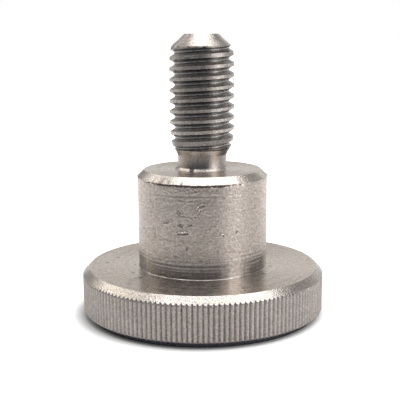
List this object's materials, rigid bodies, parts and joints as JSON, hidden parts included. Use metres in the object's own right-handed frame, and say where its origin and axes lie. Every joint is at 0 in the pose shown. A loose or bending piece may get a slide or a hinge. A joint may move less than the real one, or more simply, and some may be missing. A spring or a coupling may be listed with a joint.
{
  "type": "thumb screw",
  "caption": "Stainless thumb screw with a straight-knurled round head, a stepped collar and an undercut thread, tightened by hand to clamp or adjust a part.",
  "frame": {"origin": "centre of the knurled head's flat face, which the screw stands on", "axes": "+Z along the screw's axis, from the knurled head towards the thread's tip; +X and +Y are free, because the form is round"},
  "size_m": [0.03, 0.03, 0.034],
  "materials": {
    "stainless_steel": "bare stainless steel, turned, with a rolled straight knurl and a satin to half-bright surface"
  },
  "bodies": {
    "root": {"thumb_screw": "stainless_steel"}
  },
  "joints": []
}
